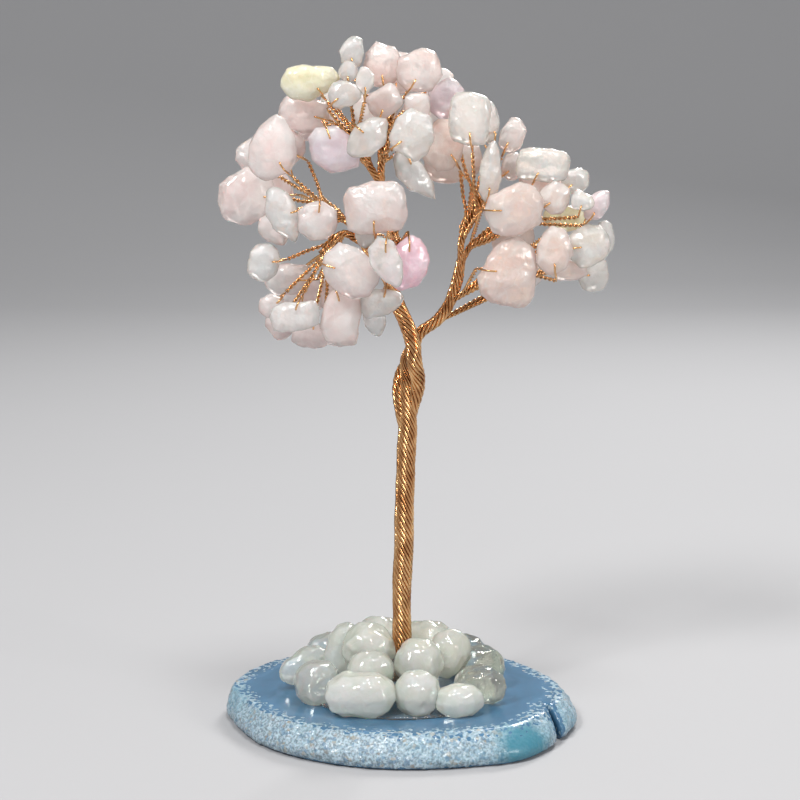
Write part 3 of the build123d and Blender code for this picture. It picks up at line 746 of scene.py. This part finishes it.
class GEMTREE_OT_pebbles(bpy.types.Operator):
    """Model the quartz pebbles round the foot"""
    bl_idname = "gem_tree.pebbles"
    bl_label = "Pebbles"

    def execute(self, context):
        for side in PEBBLE_CLEARNESS:
            piece = tumbled_copy(f"{side}_pebbles", f"{side}_quartz_pebbles", sizes().pebble_voxel,
                                 sizes().chip_relief * 0.7, PEBBLE_DENT, sizes().pebble_growth,
                                 sizes().facets + 10)
            dress(piece, pebble_finish(side))
            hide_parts(f"{side}_pebbles")
            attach(piece, "base")
        return {"FINISHED"}


class GEMTREE_OT_trunk(bpy.types.Operator):
    """Twist the trunk from its wires"""
    bl_idname = "gem_tree.trunk"
    bl_label = "Trunk"

    def execute(self, context):
        points = [Vector(place) * MM for place, size in TRUNK_ROWS]
        swell = [size for place, size in TRUNK_ROWS]
        piece = twisted_rope("trunk_strands", points, swell, TRUNK_DIAMETER)
        dress(piece, copper_finish())
        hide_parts("trunk_bundle")
        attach(piece, "base")
        return {"FINISHED"}


def grow_rope(name, node, piece_name):
    """A rope that comes out of the rope it grows from and runs through its knuckle."""
    parent, along, diameter, _ = ALL_RUNS[name]
    place, way = spot(run_points(parent), along)
    knuckle = pivot(name)
    points = run_points(name)
    if name in BOUGH_ROOTS:
        root = [Vector(row) * MM for row in BOUGH_ROOTS[name]]
    else:
        away = knuckle - place
        root = [place - way * (3.6 * diameter * MM), place - way * (1.3 * diameter * MM) + away * 0.35]
    if name in STEM_RUNS:
        points = [knuckle, knuckle.lerp(points[1], 0.45), points[1]]
        swell = [0.7, 1.0, 1.1, 1.6, 1.7]
    else:
        swell = [0.7] + [1.0] * (len(root) - 1) + [1.05] + [1.0] * (len(points) - 2) + [0.62]
    path = root + points
    piece = twisted_rope(piece_name, path, swell, diameter * MM, name not in STEM_RUNS)
    dress(piece, copper_finish())
    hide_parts(node)
    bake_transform(piece)
    return piece


class GEMTREE_OT_boughs(bpy.types.Operator):
    """Twist the boughs and limbs"""
    bl_idname = "gem_tree.boughs"
    bl_label = "Boughs and Limbs"

    def execute(self, context):
        for name in ROPE_RUNS:
            grow_rope(name, name, f"{name}_strands")
        return {"FINISHED"}


class GEMTREE_OT_stems(bpy.types.Operator):
    """Twist the stems of the sprays"""
    bl_idname = "gem_tree.stems"
    bl_label = "Stems"

    def execute(self, context):
        for name in STEM_RUNS:
            grow_rope(name, f"{name}_stem", f"{name}_stem_strands")
        return {"FINISHED"}


def beside(place, start, way):
    """The step out to a place, square to the straight line that runs one way from a start."""
    return (place - start) - way * (place - start).dot(way)


def bar_ends(part):
    """The two end middles of a straight round bar, or nothing for a bent wire."""
    slim = 2.2 * CAD_WIRE
    places = [vertex.co.copy() for vertex in part.data.vertices]
    middle = sum(places, Vector()) / len(places)
    far = max(places, key=lambda place: (place - middle).length)
    other = max(places, key=lambda place: (place - far).length)
    way = (other - far).normalized()
    girth = max(beside(place, middle, way).length for place in places)
    if girth > slim:
        return None
    ordered = sorted(places, key=lambda place: (place - middle).dot(way))
    half = len(ordered) // 2
    near = [place for place in ordered if (place - ordered[0]).length < slim][:half]
    last = [place for place in ordered if (place - ordered[-1]).length < slim][-half:]
    return sum(near, Vector()) / len(near), sum(last, Vector()) / len(last)


def twisted_pair(begin, end, roots):
    """Two wires twisted together, up the stem through its roots, past begin, to end."""
    wire = sizes().wire
    points = [*roots, begin, begin.lerp(end, 0.5), end]
    reach = path_length(points)
    turns = reach / sizes().pair_pitch
    pair = wire_ring(2, wire * 0.5, wire * 0.5, corners=5)
    return twist_along(pair, reach, turns, max(10, round(turns * 9)), bent_path(points, [1.0] * len(points)))


def loop_wire(part):
    """The wire loop through a stone, nearly as thick as a wire of the pairs."""
    apply_modifier(part, "DISPLACE", strength=LOOP_GROWTH, mid_level=0.0)
    return part


class GEMTREE_OT_twigs(bpy.types.Operator):
    """Twist the pair of wires that carries each stone and keep the loop through its hole"""
    bl_idname = "gem_tree.twigs"
    bl_label = "Twigs and Loops"

    def execute(self, context):
        for name in STEM_RUNS:
            node = f"{name}_wires"
            knuckle, tip = run_points(name)
            along = (tip - knuckle).normalized()
            stem_girth = ALL_RUNS[name][2] * 0.45 * MM
            pieces = []
            for part in loose_parts(copy_of(node, f"{node}_copy")):
                ends = bar_ends(part)
                if ends is None:
                    pieces.append(loop_wire(part))
                    continue
                begin, end = sorted(ends, key=lambda place: (place - tip).length)
                if (begin - tip).dot(along) < -0.1 * MM:
                    begin, end = sorted(ends, key=lambda place: beside(place, tip, along).length)
                far = (begin - knuckle).dot(along)
                aside = beside(begin, knuckle, along).normalized() * (stem_girth + 0.5 * sizes().wire)
                if far < WINDING_LENGTH:
                    roots = [knuckle]
                else:
                    roots = [knuckle + along * 0.8 * MM + aside * 0.4,
                             knuckle + along * far * 0.55 + aside * 1.4]
                bpy.data.objects.remove(part)
                pieces.append(twisted_pair(begin, end, roots))
            piece = join(pieces, f"{name}_pairs_and_loops")
            bpy.ops.object.shade_smooth()
            # The pairs take less of the painted shade and wear, so they stay brighter
            dress(piece, copper_finish("fresh copper wire", 0.3))
            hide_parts(node)
            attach(piece, BODY_OF[node])
        return {"FINISHED"}


class GEMTREE_OT_chips(bpy.types.Operator):
    """Model the drilled stones of the crown"""
    bl_idname = "gem_tree.chips"
    bl_label = "Stones"

    def execute(self, context):
        for node in sorted(NODES):
            kind = node.split("_")[-1]
            if kind not in ("stone", "stones"):
                continue
            tint = node.split("_")[-2]
            piece = tumbled_copy(node, node.replace("_stone", "_chip"), sizes().chip_voxel,
                                 sizes().chip_relief * 0.6, CHIP_DENT, sizes().chip_growth, sizes().facets)
            dress(piece, chip_finish(tint))
            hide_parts(node)
            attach(piece, BODY_OF[node])
        return {"FINISHED"}


class GEMTREE_OT_stage(bpy.types.Operator):
    """Lay the floor and set the lights and the camera"""
    bl_idname = "gem_tree.stage"
    bl_label = "Stage"

    def execute(self, context):
        deselect()
        bpy.ops.mesh.primitive_plane_add(size=3.0, location=(0, 0, 0))
        floor = bpy.context.object
        floor.name = "floor"
        edit_all()
        bpy.ops.mesh.select_all(action="DESELECT")
        bpy.ops.object.mode_set(mode="OBJECT")
        for edge in floor.data.edges:
            ends = [floor.data.vertices[index].co for index in edge.vertices]
            edge.select = all(end.y > 1 for end in ends)
        bpy.ops.object.mode_set(mode="EDIT")
        bpy.ops.mesh.select_mode(type="EDGE")
        bpy.ops.mesh.extrude_region_move(TRANSFORM_OT_translate={"value": (0, 0, 2.0)})
        bpy.ops.object.mode_set(mode="OBJECT")
        apply_modifier(floor, "BEVEL", width=0.7, segments=12, limit_method="ANGLE")
        activate(floor)
        bpy.ops.object.shade_smooth()
        material, nodes, links, shader = new_material("floor")
        mottle = add_mottle(nodes, 4, 60, 0.02)
        pale = tuple(colours().floor)
        soft = tuple(channel * 0.96 for channel in pale)
        links.new(mixed(nodes, links, mottle.outputs["Clouds"], pale, soft), shader.inputs["Base Color"])
        shader.inputs["Roughness"].default_value = 0.7
        shader.inputs["Specular IOR Level"].default_value = 0.2
        floor.data.materials.append(material)
        world = bpy.data.worlds.new("studio")
        context.scene.world = world
        world.use_nodes = True
        sky = world.node_tree.nodes["Background"]
        sky.inputs["Color"].default_value = (*SKY_COLOUR, 1)
        sky.inputs["Strength"].default_value = 0.44
        for label, place, size, power in LAMPS:
            deselect()
            bpy.ops.object.light_add(type="AREA", location=place)
            lamp = bpy.context.object
            lamp.name = f"{label}_light"
            lamp.data.size = size
            lamp.data.energy = power
            lamp.data.color = LAMP_COLOUR
            lamp.rotation_euler = (LAMP_AIM - Vector(place)).to_track_quat("-Z", "Y").to_euler()
        deselect()
        bpy.ops.object.camera_add(location=CAMERA_PLACE, rotation=(radians(90 - CAMERA_DIP), 0, 0))
        camera = bpy.context.object
        camera.data.lens = 92.0
        camera.data.sensor_width = 36.0
        camera.data.clip_start = 0.01
        context.scene.camera = camera
        context.scene.view_settings.view_transform = "Standard"
        return {"FINISHED"}


OPERATORS = (GEMTREE_OT_stage, GEMTREE_OT_agate, GEMTREE_OT_glue, GEMTREE_OT_pebbles, GEMTREE_OT_trunk,
             GEMTREE_OT_boughs, GEMTREE_OT_stems, GEMTREE_OT_twigs, GEMTREE_OT_chips)


class GEMTREE_PT_panel(bpy.types.Panel):
    """Steps, sizes and colours of the gemstone tree"""
    bl_idname = "GEMTREE_PT_panel"
    bl_label = "Gemstone Tree"
    bl_space_type = "VIEW_3D"
    bl_region_type = "UI"
    bl_category = "Gemstone Tree"

    def draw(self, context):
        for operator in OPERATORS:
            self.layout.operator(operator.bl_idname)
        for group in (context.scene.gem_tree_sizes, context.scene.gem_tree_colours):
            for key in group.__annotations__:
                self.layout.prop(group, key)


CLASSES = (GemTreeSizes, GemTreeColours, *OPERATORS, GEMTREE_PT_panel)


def register():
    for cls in CLASSES:
        bpy.utils.register_class(cls)
    bpy.types.Scene.gem_tree_sizes = bpy.props.PointerProperty(type=GemTreeSizes)
    bpy.types.Scene.gem_tree_colours = bpy.props.PointerProperty(type=GemTreeColours)


def unregister():
    del bpy.types.Scene.gem_tree_sizes
    del bpy.types.Scene.gem_tree_colours
    for cls in reversed(CLASSES):
        bpy.utils.unregister_class(cls)


def main():
    register()
    bpy.ops.gem_tree.stage()
    bpy.ops.gem_tree.agate()
    bpy.ops.gem_tree.glue()
    bpy.ops.gem_tree.pebbles()
    bpy.ops.gem_tree.trunk()
    bpy.ops.gem_tree.boughs()
    bpy.ops.gem_tree.stems()
    bpy.ops.gem_tree.twigs()
    bpy.ops.gem_tree.chips()


if __name__ == "__main__":
    main()
